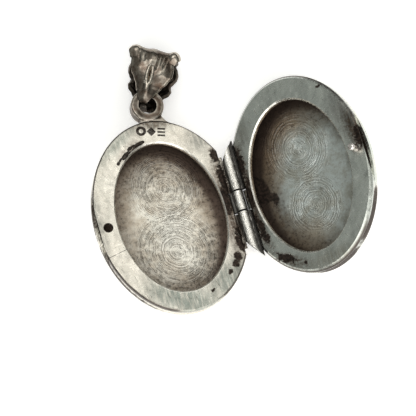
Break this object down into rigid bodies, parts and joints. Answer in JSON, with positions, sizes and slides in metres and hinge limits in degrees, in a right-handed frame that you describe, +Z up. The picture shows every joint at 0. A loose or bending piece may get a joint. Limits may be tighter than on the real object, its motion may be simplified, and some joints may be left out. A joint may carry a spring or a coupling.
{
  "type": "hinged oval locket",
  "caption": "Hinged oval silver locket lying open, with a domed case half on each side, a peg catch, a soldered hanging loop and a folded leaf bail.",
  "frame": {"origin": "centre of the open locket's footprint on the table its two domes rest on", "axes": "+Z up from the table; +Y along the hinge towards the bail; +X across, from the half with the loop to the cover half"},
  "size_m": [0.0424, 0.0422, 0.0113],
  "materials": {
    "worn_silver": "worn warm sterling silver, satin polished",
    "grey_silver": "polished grey sterling silver with tarnish",
    "oxidised_silver": "dark oxidised sterling silver with rubbed edges"
  },
  "bodies": {
    "base_half": {"base_shell": "worn_silver", "base_rim_plate": "worn_silver", "hanging_loop": "oxidised_silver", "hinge_knuckle_middle": "worn_silver"},
    "cover_half": {"cover_shell": "grey_silver", "cover_rim_plate": "grey_silver", "catch_stud": "worn_silver", "hinge_knuckle_upper": "worn_silver", "hinge_knuckle_lower": "worn_silver", "hinge_pin": "worn_silver"},
    "bail": {"bail_leaf": "oxidised_silver", "bail_strap": "oxidised_silver"}
  },
  "joints": [
    {"name": "cover_hinge", "type": "hinge", "parent": "base_half", "child": "cover_half", "pos_m": [0, -0.00609, 0.00255], "axis": [0, -1, 0], "range_deg": [0, 138]},
    {"name": "bail_swing", "type": "hinge", "parent": "base_half", "child": "bail", "pos_m": [-0.00924, 0.01141, 0.00484], "axis": [0.3584, 0, 0.9336], "range_deg": [-26, 82]}
  ]
}
